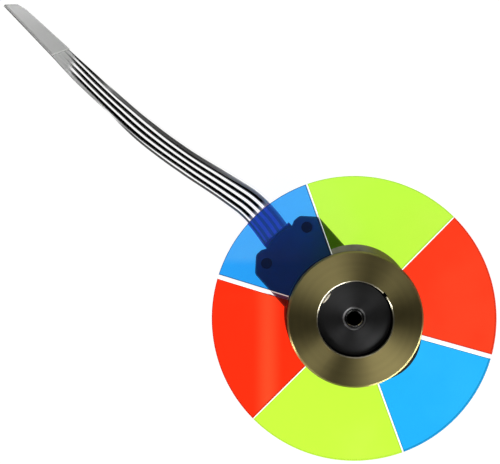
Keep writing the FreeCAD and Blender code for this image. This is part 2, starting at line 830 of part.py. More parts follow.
def flat_tail():
    """The free tail, the stiffener on its end, and the bare contacts on the other side.

    The tail's first section stands square to +Y, so that it meets the strip's end flush.
    """
    plain, radii = route_stations(tail_route)
    plain[0] = (plain[0][0], Vec(0, 1, 0))
    stations = with_distance(plain)
    total = stations[-1][0]
    half = tail_width / 2
    film = film_thickness / 2
    tail = ribbon(stations, 0.0, total, -half, half, -film, film)
    section = tail_width * film_thickness
    print("tail length %.2f, smallest radius %.1f" % (total, min(radii)))
    print("radii", ["%.0f" % r for r in radii])
    print("tail volume %.3f, section times length %.3f" % (tail.Volume, section * total))
    stiffener = ribbon(stations, total - stiffener_length, total, -half, half,
                       film + film_room, film + film_room + stiffener_thickness)
    corner = tip_corner(stations)
    tail = tail.cut(corner)
    stiffener = stiffener.cut(corner)
    pads = []
    for i in range(conductor_count):
        middle = (i - (conductor_count - 1) / 2) * conductor_pitch
        pads.append(ribbon(stations, total - pad_setback - pad_length,
                           total - pad_setback, middle - pad_width / 2,
                           middle + pad_width / 2, -film - film_room - pad_thickness,
                           -film - film_room))
    return {"flex_tail": tail, "contact_stiffener": stiffener,
            "contact_pads": Part.makeCompound(pads)}


def all_pieces():
    """Every piece by its node name."""
    pieces = {
        "shaft": shaft(),
        "shaft_clip": shaft_clip(),
        "rotor_hub": rotor_hub(),
        "rotor_cup": rotor_cup(),
        "ring_magnet": ring_magnet(),
        "clamp_ring": clamp_ring(),
        "rear_bond": bond(hub_flange_radius - rear_bond_inset, flange_high),
        "front_bond": bond(front_bond_radius, glass_high),
        "adhesive_bead": adhesive_bead(),
        "index_mark": index_mark(),
        "preload_washer": preload_washer(),
        "end_cap": end_cap(),
        "base_plate": base_plate(),
        "flex_circuit": flex_circuit(),
        "solder_joints": solder_joints(),
        "lead_wires": lead_wires(),
    }
    pieces.update(filters())
    pieces.update(smears())
    pieces.update(bearings())
    pieces.update(wound_core())
    pieces.update(flat_tail())
    return pieces


def main():
    os.makedirs("parts", exist_ok=True)
    for name, shape in all_pieces().items():
        shape.exportStep("parts/" + name + ".step")
        valid = shape.isValid()
        print("%-26s solids %d volume %.3f valid %s" % (name, len(shape.Solids), shape.Volume, valid))


main()
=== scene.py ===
import bpy
import numpy as np
from bpy.props import FloatProperty, FloatVectorProperty, IntProperty, PointerProperty
from mathutils import Matrix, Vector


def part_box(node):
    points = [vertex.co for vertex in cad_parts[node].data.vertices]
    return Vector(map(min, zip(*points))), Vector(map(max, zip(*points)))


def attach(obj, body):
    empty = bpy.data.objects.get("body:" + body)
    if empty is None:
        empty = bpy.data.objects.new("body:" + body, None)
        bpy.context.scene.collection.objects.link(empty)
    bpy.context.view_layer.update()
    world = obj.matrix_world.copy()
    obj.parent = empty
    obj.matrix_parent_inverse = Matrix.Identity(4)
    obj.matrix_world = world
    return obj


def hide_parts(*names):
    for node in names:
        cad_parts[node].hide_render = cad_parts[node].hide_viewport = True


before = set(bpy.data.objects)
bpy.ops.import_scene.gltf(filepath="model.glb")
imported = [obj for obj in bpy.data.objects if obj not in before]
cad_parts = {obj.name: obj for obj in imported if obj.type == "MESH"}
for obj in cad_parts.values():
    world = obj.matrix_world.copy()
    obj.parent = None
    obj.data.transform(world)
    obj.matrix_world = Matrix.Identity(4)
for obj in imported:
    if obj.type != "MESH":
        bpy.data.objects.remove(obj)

bl_info = {
    "name": "Projector colour wheel",
    "version": (1, 0, 0),
    "blender": (4, 5, 0),
    "location": "View3D > Sidebar > Colour wheel",
    "description": "Dresses the colour wheel's CAD frame with glass, turned metal and a flat cable",
    "category": "Object",
}

MM = 0.001
RIM_RADIUS = 20.0 * MM
# The coatings' painted glow: emission of their own colour, painted light standing in for the light
# they scatter back.
COATING_GLOWS = {"red": (1.0, 0.2, 0.15), "green": (0.42, 1.0, 0.04), "blue": (0.2, 0.26, 0.72)}
# How much of the light the glass lets through along its edges: a painted dark outline, painted shade
# standing in for the dark lines the glass edges show.
EDGE_SHADES = {"red": 0.6, "green": 0.75, "blue": 0.35}
# The segments in order round the wheel: the angle in degrees where each ends, and half the
# open gap behind it.
SEGMENTS = {
    "green_a": (67.5, 0.11 * MM),
    "blue_a": (120.9, 0.3 * MM),
    "red_a": (182.8, 0.075 * MM),
    "green_b": (248.1, 0.11 * MM),
    "blue_b": (302.4, 0.3 * MM),
    "red_b": (363.4, 0.075 * MM),
}
# From how far out the ground walls in a gap glow pale: painted light, given as emission.
GROUND_GLOW_FROM = {"red_a": 12.4 * MM}
# Bands of another tint on the glass, across the wheel: on red_a a paler band, a painted reflection,
# and on blue_a a deeper one. Each gives its direction in degrees, from and to and softness in mm,
# and the tint inside the band.
TINT_BANDS = {
    "red_a": [(-42.0, -13.2, -11.0, 1.2, (1.0, 0.075, 0.02))],
    "blue_a": [(48.0, -20.0, 8.0, 0.7, (0.02, 0.38, 0.98))],
}

# Bands across the hub, as direction in degrees, from, to and softness: where its face is painted
# paler, painted light that lifts the clamp ring's shadow, and where the pale edge round the shaft
# has a painted highlight.
HUB_SHADE_LIFT = (-82.0, 4.0 * MM, 6.0 * MM, 1.1 * MM)
HUB_GLINT_SIDE = (138.0, 0.3 * MM, 3.0 * MM, 0.8 * MM)
# Turned metal: how far its tone swings, and the depth of its marks.
TURNED_SPREAD = 0.05
TURNED_DEPTH = 0.0003 * MM

# Where the cable's look changes: from and to, in mm along it from the plate.
PITCH_WIDENS = (16.0, 34.0)
STRIPES_SHIFT = (31.0, 42.0)
# The grey band on the far edge is painted shade where that edge turns down.
BAND_MOVES = (7.0, 12.0)
BAND_DARKENS = (22.0, 30.0)
BAND_FADES = (30.0, 37.0)
LINE_MOVES = (11.0, 19.0)
LINE_FADES = (25.0, 32.0)
RIM_COMES = (36.0, 38.0)
RIM_GOES = (42.0, 46.0)
FRINGE_COMES = (29.0, 35.0)
ROOT_ENDS = (3.9, 4.3)
ROOT_STRIPES = (4.3, 5.1)
MARGIN_DARKENS = (6.0, 20.0)
FAR_EDGE_NARROWS = (27.0, 33.0)
NEAR_EDGE_CLEARS = (36.0, 42.0)
# Places across the cable, in mm from its middle: the band's inner side, before and after it
# moves, and the thin dark rim.
BAND_INNER = (1.66, 1.48)
RIM_PLACE = 2.2

# The cable's route in metres: the same points as the solid's.
CABLE_ROUTE = (
    (0.0, 0.0160, 0.000405),
    (0.0006, 0.0203, 0.00085),
    (-0.00085, 0.0262, 0.00132),
    (-0.00277, 0.0330, 0.00164),
    (-0.00425, 0.0400, 0.00174),
    (-0.00498, 0.0468, 0.00203),
    (-0.00566, 0.0536, 0.00215),
    (-0.00606, 0.0606, 0.0023),
    (-0.0065, 0.0673, 0.00243),
)
# How far the cable has turned over at each of those points, in degrees: its -X edge rises.
CABLE_ROLLS = (0.0, -14.0, -28.0, -38.0, -41.0, -51.0, -55.0, -62.0, -69.0)


def size(name, text, default):
    """A length setting in metres."""
    return FloatProperty(name=name, description=text, default=default, unit="LENGTH", precision=5)


def share(name, text, default):
    """A setting from 0 to 1."""
    return FloatProperty(name=name, description=text, default=default, min=0.0, max=1.0,
                         subtype="FACTOR")


def colour(name, text, default):
    """A colour setting, linear."""
    return FloatVectorProperty(name=name, description=text, default=default, size=3, min=0.0,
                               max=1.0, subtype="COLOR")


class FilterSettings(bpy.types.PropertyGroup):
    red_a: colour("First red", "What the first red segment lets through", (1.0, 0.029, 0.004))
    red_b: colour("Second red", "What the second red segment lets through", (1.0, 0.045, 0.011))
    green_a: colour("First green", "What the first green segment lets through",
                    (0.56, 1.0, 0.068))
    green_b: colour("Second green", "What the second green segment lets through",
                    (0.63, 1.0, 0.06))
    blue_a: colour("First blue", "What the first blue segment lets through", (0.05, 0.40, 0.98))
    blue_b: colour("Second blue", "What the second blue segment lets through",
                   (0.016, 0.48, 0.99))
    smudge: share("Smudges", "Roughness of the faint smudges on the glass", 0.02)
    paler: share("Paler patches", "How much paler the coating is in wide soft patches", 0.08)
    # The coatings' glow is painted light: emission standing in for the light they scatter back.
    coating_glow: share("Haze", "How much of its own colour each coating scatters back", 0.02)
    # The ground edges' paleness is painted light: the walls in the gaps glow.
    ground: share("Ground edges", "How pale the ground edges in the gaps look", 0.8)
    # The outline is painted shade along the rim and the gap edges.
    outline: size("Outline", "Width of the dark line along the glass edges", 0.1 * MM)


class MetalSettings(bpy.types.PropertyGroup):
    brass: colour("Brass", "Colour of the turned clamp ring", (0.46, 0.385, 0.158))
    brass_roughness: share("Brass roughness", "How dull the clamp ring is", 0.38)
    black: colour("Black", "Colour of the black turned hub", (0.088, 0.088, 0.09))
    steel: colour("Steel", "Colour of the ground shaft", (0.14, 0.14, 0.145))
    # The ring's bore and nick, below the bright edges, are painted near-black: painted shade.
    bore_radius: size("Ring bore", "How far out the clamp ring's bore and its nick reach", 5.55 * MM)
    bore_edge: size("Bright edge", "Height of the bright edges of the ring", 0.25 * MM)
    # The ring's bright inner edge is a painted highlight.
    bright_radius: size("Bright radius", "How far out the ring's bright inner edge reaches",
                        5.37 * MM)
    # The puller hole's darkness is painted shade, and the bright edges beside the shaft's flat are
    # painted highlights.
    puller_radius: size("Puller hole", "Radius of the dark hole in the shaft's end", 1.0 * MM)
    shaft_flat: size("Shaft flat", "Middle radius of the dull flat on the shaft's end", 1.29 * MM)
    flat_width: size("Flat width", "Width of that flat, between the bright edges", 0.22 * MM)
    # The pale edge round the shaft is a painted highlight, brighter towards one side.
    glint_radius: size("Bare edge", "How far the bare edge round the shaft reaches", 1.59 * MM)
    # The hub's dark rim is painted shade beside the clamp ring.
    hub_rim: size("Hub rim", "Radius where the hub's face turns down into its dark rim", 5.12 * MM)
    plate: colour("Plate", "Colour of the base plate's coating", (0.16, 0.155, 0.23))
    cup: colour("Cup", "Colour of the rotor cup", (0.30, 0.22, 0.17))
    groove_pitch: size("Groove pitch", "Distance between turning marks", 0.06 * MM)
    bead_angle: FloatProperty(name="Bead angle", description="Where the glue bead lies, degrees",
                              default=101.5)
    bead_span: FloatProperty(name="Bead span", description="Length of the glue bead, degrees",
                             default=21.0)
    bead_radius: size("Bead radius", "Distance of the glue bead from the axis", 4.92 * MM)
    bead_width: size("Bead width", "Width of the glue bead", 0.58 * MM)
    bead_rise: size("Bead height", "Height of the glue bead", 0.38 * MM)


class CableSettings(bpy.types.PropertyGroup):
    width: size("Width", "Width of the flat cable", 5.1 * MM)
    thickness: size("Thickness", "Thickness of the film", 0.15 * MM)
    pitch: size("Pitch", "Distance between conductors", 1.0 * MM)
    conductor: size("Conductor", "Width of one conductor", 0.47 * MM)
    spread: share("Spread", "How much wider the conductors stand at the stiffener", 0.23)
    near_shift: size("Near shift", "How far the conductors lie off the middle at the wheel",
                     -0.02 * MM)
    far_shift: size("Far shift", "How far they lie off the middle at the stiffener", 0.42 * MM)
    rib: size("Rib", "How far the film stands up over a conductor", 0.03 * MM)
    count: IntProperty(name="Conductors", description="Number of conductors", default=4, min=1)
    clear_edge: size("Clear edge", "Width of the clear edge beside the dark band", 0.42 * MM)
    clear_end: size("Clear end", "Width of the clear edges beside the stiffener", 0.25 * MM)
    stiffener_length: size("Stiffener", "Length of the stiffened end", 10.0 * MM)
    grey_length: size("Grey length", "Length from the tip where the grey is full", 9.4 * MM)
    grey_fade: size("Grey fade", "Length over which the grey comes in", 3.2 * MM)
    corner_length: size("Corner length", "Length of the slanted corner of the end", 1.2 * MM)
    corner_width: size("Corner width", "Width of the slanted corner of the end", 0.9 * MM)
    stiffener_thickness: size("Stiffener thickness", "Thickness of the stiffener", 0.15 * MM)
    contact_length: size("Contacts", "Length of the bare contacts", 4.0 * MM)
    contact_width: size("Contact width", "Width of one contact", 0.6 * MM)
    dark: colour("Conductor colour", "Colour of the dark conductors", (0.002, 0.002, 0.002))
    film: colour("Film", "Colour of the film", (0.85, 0.85, 0.86))
    root: colour("Root", "Colour of the film where it leaves the plate", (0.8, 0.17, 0.98))
    root_solid: share("Root cover", "How little light the film lets through there", 0.7)
    # The edge band's colours are painted shade, where the cable's far edge turns down.
    margin: colour("Margin", "Colour of the film's edge band", (0.15, 0.15, 0.15))
    near_margin: colour("Near margin", "Colour of the edge band near the wheel", (0.8, 0.8, 0.8))
    stiffener: colour("Stiffener colour", "Colour of the stiffened end", (0.8, 0.8, 0.8))


class WindingSettings(bpy.types.PropertyGroup):
    wire: size("Wire", "Diameter of the winding wire", 0.14 * MM)
    copper: colour("Copper", "Colour of the enamelled wire", (0.62, 0.22, 0.07))


class StageSettings(bpy.types.PropertyGroup):
    floor_glow: FloatProperty(name="Floor glow", description="Light of the floor itself",
                              default=0.95, min=0.0)
    main_light: FloatProperty(name="Main light", description="Strength of the main softbox, watts",
                              default=0.7, min=0.0)
    lens: FloatProperty(name="Lens", description="Focal length in millimetres", default=58.97)
    height: size("Height", "Camera above the glass", 115.0 * MM)


# Meshes: a surface is a grid of points worked out from two parameters.


def grid_faces(rows, columns, closed):
    """Four-cornered faces of a grid of rows x columns points, each row closed where asked."""
    i = np.arange(rows - 1)
    j = np.arange(columns if closed else columns - 1)
    i, j = (a.ravel() for a in np.meshgrid(i, j, indexing="ij"))
    i2 = i + 1
    j2 = (j + 1) % columns
    return np.stack([i * columns + j, i * columns + j2, i2 * columns + j2, i2 * columns + j], 1)


def mesh_piece(name, points, faces, body, material, caps=()):
    """A new piece from points (n, 3) and faces, riding on a body, with its material slot."""
    mesh = bpy.data.meshes.new(name)
    mesh.from_pydata(points.tolist(), [], [*faces.tolist(), *caps])
    mesh.polygons.foreach_set("use_smooth", np.ones(len(mesh.polygons), dtype=bool))
    mesh.update()
    piece = bpy.data.objects.new(name, mesh)
    bpy.context.scene.collection.objects.link(piece)
    mesh.materials.append(material)
    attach(piece, body)
    return piece


def dress(material, *nodes):
    """Gives CAD nodes a material."""
    for name in nodes:
        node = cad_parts[name]
        if not node.material_slots:
            node.data.materials.append(material)
        for place in node.material_slots:
            place.material = material


# Materials: small helpers, then the effects that several materials share.


def new_material(name, **values):
    """A Principled material with those socket values, by socket name with _ for a space."""
    material = bpy.data.materials.new(name)
    material.use_nodes = True
    shader = material.node_tree.nodes["Principled BSDF"]
    for key, value in values.items():
        socket = shader.inputs[key.replace("_", " ")]
        socket.default_value = (*value, 1.0) if socket.type == "RGBA" else value
    return material, material.node_tree, shader


def add(tree, kind, **settings):
    """A new node of that kind with its settings."""
    node = tree.nodes.new("ShaderNode" + kind)
    for key, value in settings.items():
        setattr(node, key, value)
    return node


def math_node(tree, operation, *values, clamp=False):
    """The result socket of a Math node; a value is a number or a socket."""
    node = add(tree, "Math", operation=operation, use_clamp=clamp)
    for socket, value in zip(node.inputs, values):
        if isinstance(value, (int, float)):
            socket.default_value = value
        else:
            tree.links.new(value, socket)
    return node.outputs[0]


def product(tree, first, *others):
    """The product of numbers or sockets."""
    for other in others:
        first = math_node(tree, "MULTIPLY", first, other)
    return first


def largest(tree, first, *others):
    """The largest of numbers or sockets."""
    for other in others:
        first = math_node(tree, "MAXIMUM", first, other)
    return first


def mixed(tree, factor, low, high):
    """The result socket of a colour mix; low and high are colours or sockets."""
    node = add(tree, "Mix", data_type="RGBA")
    tree.links.new(factor, node.inputs["Factor"])
    for socket, value in ((node.inputs[6], low), (node.inputs[7], high)):
        if isinstance(value, bpy.types.NodeSocket):
            tree.links.new(value, socket)
        else:
            socket.default_value = (*value, 1.0)
    return node.outputs[2]


def between(tree, value, low, high, to_low=0.0, to_high=1.0):
    """A value carried from one range to another, smooth at both ends."""
    node = add(tree, "MapRange", interpolation_type="SMOOTHSTEP")
    tree.links.new(value, node.inputs[0])
    for socket, number in zip(node.inputs[1:5], (low, high, to_low, to_high)):
        socket.default_value = number
    return node.outputs[0]


def bump(tree, shader, height, distance):
    """Feeds a height to the shader's normal."""
    node = add(tree, "Bump")
    node.inputs["Distance"].default_value = distance
    tree.links.new(height, node.inputs["Height"])
    tree.links.new(node.outputs[0], shader.inputs["Normal"])


def new_group(name, inputs, outputs):
    """An empty node group with float inputs (name, default) and float outputs."""
    group = bpy.data.node_groups.new(name, "ShaderNodeTree")
    for label, default in inputs:
        socket = group.interface.new_socket(label, in_out="INPUT", socket_type="NodeSocketFloat")
        socket.default_value = default
    for label in outputs:
        group.interface.new_socket(label, in_out="OUTPUT", socket_type="NodeSocketFloat")
    return group, group.nodes.new("NodeGroupInput"), group.nodes.new("NodeGroupOutput")


def object_place(tree):
    """The Object coordinates."""
    return add(tree, "TexCoord").outputs["Object"]


def place_parts(tree):
    """The Object coordinates' three parts."""
    split = add(tree, "SeparateXYZ")
    tree.links.new(object_place(tree), split.inputs[0])
    return split.outputs


def axis_distance(tree):
    """Distance from the spin axis."""
    x, y, _ = place_parts(tree)
    squares = [math_node(tree, "MULTIPLY", part, part) for part in (x, y)]
    return math_node(tree, "SQRT", math_node(tree, "ADD", *squares))


def tint_over(tree, shader, mask, over):
    """Mixes a colour over the shader's base colour where the mask is one."""
    plain = shader.inputs["Base Color"].links[0].from_socket
    tree.links.new(mixed(tree, mask, plain, over), shader.inputs["Base Color"])


def turned_group():
    """Turning marks: noise over the distance from the spin axis alone, and a coarser tone."""
    group, source, result = new_group("Turning marks", [("Pitch", 0.06 * MM)], ["Height", "Tone"])
    steps = math_node(group, "DIVIDE", axis_distance(group), source.outputs["Pitch"])
    for label, slower in (("Height", 1.0), ("Tone", 9.0)):
        noise = add(group, "TexNoise", noise_dimensions="1D")
        noise.inputs["Detail"].default_value = 3.0
        noise.inputs["Scale"].default_value = 1.0 / slower
        group.links.new(steps, noise.inputs["W"])
        group.links.new(noise.outputs[0], result.inputs[label])
    return group


def grain_group():
    """Fine grain of a coating, and wide soft smudges."""
    group, source, result = new_group("Grain and smudges",
                                      [("Grain size", 0.05 * MM), ("Smudge size", 4.0 * MM)],
                                      ["Grain", "Smudge"])
    place = object_place(group)
    for label, key, detail in (("Grain", "Grain size", 2.0), ("Smudge", "Smudge size", 4.0)):
        noise = add(group, "TexNoise")
        noise.inputs["Detail"].default_value = detail
        scale = math_node(group, "DIVIDE", 1.0, source.outputs[key])
        group.links.new(scale, noise.inputs["Scale"])
        group.links.new(place, noise.inputs["Vector"])
        group.links.new(noise.outputs[0], result.inputs[label])
    return group


def layers_group():
    """Fine lines across the height: the sheets of a stamped stack."""
    group, source, result = new_group("Stacked sheets", [("Sheet", 0.2 * MM)], ["Height"])
    steps = math_node(group, "DIVIDE", place_parts(group)[2], source.outputs["Sheet"])
    wave = math_node(group, "PINGPONG", steps, 0.5)
    group.links.new(between(group, wave, 0.0, 0.12), result.inputs["Height"])
    return group


def sheen_group():
    """A soft-edged band across the wheel: between two distances along one direction."""
    group, source, result = new_group("Sheen band",
                                      [("Angle", 0.0), ("Low", -1.0 * MM), ("High", 1.0 * MM),
                                       ("Softness", 1.0 * MM)], ["Mask"])
    x, y, _ = place_parts(group)
    angle = source.outputs["Angle"]
    reach = math_node(group, "ADD",
                      math_node(group, "MULTIPLY", x, math_node(group, "COSINE", angle)),
                      math_node(group, "MULTIPLY", y, math_node(group, "SINE", angle)))
    above = math_node(group, "SUBTRACT", reach, source.outputs["Low"])
    below = math_node(group, "SUBTRACT", source.outputs["High"], reach)
    inside = math_node(group, "DIVIDE", math_node(group, "MINIMUM", above, below),
                       source.outputs["Softness"])
    group.links.new(between(group, inside, -1.0, 1.0), result.inputs["Mask"])
    return group


GROUPS = {}
MAKERS = {"turned": turned_group, "grain": grain_group, "layers": layers_group,
          "sheen": sheen_group}


def effect(tree, key, **values):
    """An instance of a shared effect in a material, with its own values."""
    if key not in GROUPS:
        GROUPS[key] = MAKERS[key]()
    node = add(tree, "Group", node_tree=GROUPS[key])
    for name, value in values.items():
        node.inputs[name.replace("_", " ")].default_value = value
    return node


def sheen_mask(tree, angle, low, high, softness):
    """The mask of a sheen band: its direction in degrees, its distances in metres."""
    band = effect(tree, "sheen", Angle=np.radians(angle), Low=low, High=high, Softness=softness)
    return band.outputs["Mask"]


def glass_material(look, name, tint_bands):
    """Coated filter glass: tinted where light goes through, clear of lamps' rays in shadow.

    The coating is a little paler in wide soft patches, and takes another tint in soft bands, which
    on red_a is a painted reflection. It glows a little of its own colour, painted light standing in
    for what it scatters back. The rim's wall and the gap edges are darker, a painted dark outline,
    the glass round the bore is painted black as painted shade, and the ground walls in the gaps glow
    pale as painted light.
    """
    tint = tuple(getattr(look, name))
    material, tree, shader = new_material("glass_" + name, Transmission_Weight=1.0, IOR=1.5,
                                          Metallic=0.0, Emission_Strength=1.0)
    low, high = (corner[2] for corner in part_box("filter_" + name))
    marks = effect(tree, "grain", Smudge_size=7.0 * MM)
    rough = between(tree, marks.outputs["Smudge"], 0.35, 0.8, 0.0, look.smudge)
    tree.links.new(rough, shader.inputs["Roughness"])
    patches = effect(tree, "grain", Smudge_size=16.0 * MM)
    pale = tuple(c ** (1.0 - look.paler) for c in tint)
    tone = mixed(tree, between(tree, patches.outputs["Smudge"], 0.45, 0.65), tint, pale)
    # On red_a the band is a painted reflection.
    for angle, near, far, softness, over in tint_bands:
        band = sheen_mask(tree, angle, near * MM, far * MM, softness * MM)
        tone = mixed(tree, band, tone, over)
    family = name[:-2]
    # Painted shade: a dark outline along the rim and along the gaps on both sides.
    radius = axis_distance(tree)
    outline = between(tree, radius, RIM_RADIUS - look.outline, RIM_RADIUS - 0.7 * look.outline)
    order = list(SEGMENTS)
    before = order[order.index(name) - 1]
    for angle, half_gap in (SEGMENTS[before], SEGMENTS[name]):
        reach = half_gap + look.outline
        edge = sheen_mask(tree, angle + 90.0, -reach, reach, 0.02 * MM)
        outline = largest(tree, outline, edge)
    shade = EDGE_SHADES[family]
    tone = mixed(tree, outline, tone, tuple(shade * c for c in tint))
    # Painted shade: the glass round the bore, seen only through the gap beside the hub, is painted
    # black and gives off no glow.
    bore = between(tree, radius, 5.9 * MM, 6.1 * MM, 1.0, 0.0)
    tree.links.new(mixed(tree, bore, tone, (0.0, 0.0, 0.0)), shader.inputs["Base Color"])
    # The ground walls in the gaps glow pale, painted light given as emission, and the rest of the
    # glass has the coatings' painted glow.
    height = place_parts(tree)[2]
    wall = product(tree, between(tree, height, low + 0.01 * MM, low + 0.03 * MM),
                   between(tree, height, high - 0.03 * MM, high - 0.01 * MM, 1.0, 0.0))
    near = GROUND_GLOW_FROM.get(name, 8.0 * MM)
    inner = product(tree, between(tree, radius, near, near + 0.2 * MM),
                    between(tree, radius, RIM_RADIUS - 0.1 * MM, RIM_RADIUS - 0.05 * MM, 1.0, 0.0))
    # The coatings' glow below is painted light, given as emission.
    outside = math_node(tree, "SUBTRACT", 1.0, add(tree, "NewGeometry").outputs["Backfacing"])
    gap = product(tree, wall, inner, outside)
    glow = mixed(tree, gap, tuple(look.coating_glow * c for c in COATING_GLOWS[family]),
                 (look.ground, look.ground, look.ground))
    tree.links.new(mixed(tree, bore, glow, (0.0, 0.0, 0.0)), shader.inputs["Emission Color"])
    through = add(tree, "BsdfTransparent")
    through.inputs[0].default_value = (*tint, 1.0)
    path = add(tree, "LightPath")
    choice = add(tree, "MixShader")
    tree.links.new(path.outputs["Is Shadow Ray"], choice.inputs[0])
    tree.links.new(shader.outputs[0], choice.inputs[1])
    tree.links.new(through.outputs[0], choice.inputs[2])
    tree.links.new(choice.outputs[0], tree.nodes["Material Output"].inputs[0])
    return material


def turned_material(name, base, roughness, pitch, anisotropic=0.85):
    """Metal turned on a lathe: fine rings, a soft change of tone, and a gloss drawn outwards."""
    material, tree, shader = new_material(name, Metallic=1.0, Anisotropic=anisotropic,
                                          Anisotropic_Rotation=0.25)
    marks = effect(tree, "turned", Pitch=pitch)
    grain = effect(tree, "grain", Smudge_size=3.0 * MM)
    lighter = tuple(min(1.0, (1.0 + TURNED_SPREAD) * c) for c in base)
    darker = tuple((1.0 - TURNED_SPREAD) * c for c in base)
    tone = mixed(tree, marks.outputs["Tone"], darker, lighter)
    tree.links.new(tone, shader.inputs["Base Color"])
    rough = between(tree, grain.outputs["Smudge"], 0.3, 0.7, roughness * 0.95, roughness * 1.05)
    tree.links.new(rough, shader.inputs["Roughness"])
    tangent = add(tree, "Tangent", direction_type="RADIAL", axis="Z")
    tree.links.new(tangent.outputs[0], shader.inputs["Tangent"])
    bump(tree, shader, marks.outputs["Height"], TURNED_DEPTH)
    return material


def hollow_material(name, base, roughness, pitch, bore, depth, face, outer=1.0):
    """Turned metal whose bore and side are painted near-black from that depth below the face:
    painted shade in the hollows and down the side.
    """
    material = turned_material(name, base, roughness, pitch)
    tree = material.node_tree
    radius = axis_distance(tree)
    inside = between(tree, radius, bore + 0.02 * MM, bore + 0.06 * MM, 1.0, 0.0)
    side = between(tree, radius, outer - 0.06 * MM, outer - 0.02 * MM)
    deep = between(tree, place_parts(tree)[2], face - depth - 0.05 * MM, face - depth, 1.0, 0.0)
    # Painted shade in the bore and down the side.
    dark = math_node(tree, "MULTIPLY", math_node(tree, "MAXIMUM", inside, side), deep)
    tint_over(tree, tree.nodes["Principled BSDF"], dark, (0.003, 0.003, 0.003))
    return material


def ring_material(look, face, inner, outer):
    """Turned brass with painted shade in its bore and down its side, and a painted highlight: a pale
    edge round the bore.
    """
    material = hollow_material("turned_brass", tuple(look.brass), look.brass_roughness,
                               look.groove_pitch, look.bore_radius, look.bore_edge, face, outer)
    tree = material.node_tree
    # Painted highlight: a pale near-white edge round the bore.
    edge = product(tree, between(tree, axis_distance(tree), inner, inner + 0.03 * MM, 1.0, 0.0),
                   between(tree, place_parts(tree)[2], face - 0.14 * MM, face - 0.12 * MM))
    tint_over(tree, tree.nodes["Principled BSDF"], edge, (1.0, 0.93, 0.7))
    return material


def shaft_material(look, face):
    """Ground steel: a dull flat end with painted highlights on its edges, round the puller hole,
    which is painted dark as painted shade.
    """
    material = hollow_material("ground_steel", tuple(look.steel), 0.22, look.groove_pitch,
                               look.puller_radius, 0.12 * MM, face)
    tree = material.node_tree
    off = math_node(tree, "ABSOLUTE", math_node(tree, "SUBTRACT", axis_distance(tree),
                                                look.shaft_flat))
    beside = between(tree, off, 0.45 * look.flat_width, 0.55 * look.flat_width)
    high = between(tree, place_parts(tree)[2], face - 0.14 * MM, face - 0.12 * MM)
    # Painted highlight: the edges beside the flat are painted pale.
    tint_over(tree, tree.nodes["Principled BSDF"], product(tree, beside, high), (0.9, 0.9, 0.9))
    return material


def hub_material(name, base, pitch, bore, rim):
    """Black turned metal: the chamfer round the shaft is painted pale, a painted highlight, and the
    outer rim is painted near-black, painted shade beside the clamp ring.

    The pale chamfer is brighter towards one side, more painted highlight, and the face is painted
    paler where the clamp ring would shade it most: painted light.
    """
    material = turned_material(name, base, 0.42, pitch, anisotropic=0.7)
    tree = material.node_tree
    shader = tree.nodes["Principled BSDF"]
    radius = axis_distance(tree)
    # Painted light: the face is paler where the clamp ring's shadow falls.
    shaded = sheen_mask(tree, *HUB_SHADE_LIFT)
    tint_over(tree, shader, shaded, tuple(1.9 * c for c in base))
    # Painted highlight: the edge round the shaft is painted pale, brighter towards one side.
    bare = between(tree, radius, bore, bore + 0.04 * MM, 1.0, 0.0)
    tone = mixed(tree, sheen_mask(tree, *HUB_GLINT_SIDE), (0.38, 0.38, 0.38), (1.0, 1.0, 1.0))
    tint_over(tree, shader, bare, tone)
    # Painted shade: the outer rim is painted near-black beside the clamp ring.
    tint_over(tree, shader, between(tree, radius, rim - 0.04 * MM, rim), (0.003, 0.003, 0.003))
    return material


def coated_material(name, base, roughness, metallic=0.0, grain_size=0.05 * MM, depth=0.004 * MM,
                    spread=0.15):
    """A painted, plated, moulded or ground surface: fine grain and soft smudges."""
    material, tree, shader = new_material(name, Metallic=metallic)
    grain = effect(tree, "grain", Grain_size=grain_size, Smudge_size=2.5 * MM)
    low = tuple((1.0 - spread) * c for c in base)
    high = tuple(min(1.0, (1.0 + spread) * c) for c in base)
    tree.links.new(mixed(tree, grain.outputs["Smudge"], low, high), shader.inputs["Base Color"])
    rough = between(tree, grain.outputs["Smudge"], 0.3, 0.7, roughness * 0.85, roughness * 1.1)
    tree.links.new(rough, shader.inputs["Roughness"])
    bump(tree, shader, grain.outputs["Grain"], depth)
    return material


def smear_material(name, above, beyond, below, lit):
    """Pressed-out adhesive on the +Y side of the wheel, and a near-black crescent on the -Y side:
    painted shade beside the clamp ring.

    The +Y side changes colour where it thins out towards +X, and glows by that much of its colour:
    painted light standing in for light from the glass beneath.
    """
    material, tree, shader = new_material(name, Roughness=0.4, Emission_Strength=1.0)
    x, y, _ = place_parts(tree)
    side = between(tree, y, -1.0 * MM, 1.0 * MM)
    grain = effect(tree, "grain", Grain_size=0.2 * MM, Smudge_size=1.5 * MM)
    thin = between(tree, x, 7.0 * MM, 9.0 * MM)
    tone = mixed(tree, thin, above, beyond)
    tone = mixed(tree, between(tree, grain.outputs["Smudge"], 0.4, 0.7, 0.0, 0.35), tone, below)
    tree.links.new(mixed(tree, side, below, tone), shader.inputs["Base Color"])
    glow = mixed(tree, side, (0.0, 0.0, 0.0), tone)
    tree.links.new(glow, shader.inputs["Emission Color"])
    # Painted light: the +Y side glows.
    shader.inputs["Emission Strength"].default_value = lit
    bump(tree, shader, grain.outputs["Grain"], 0.01 * MM)
    return material


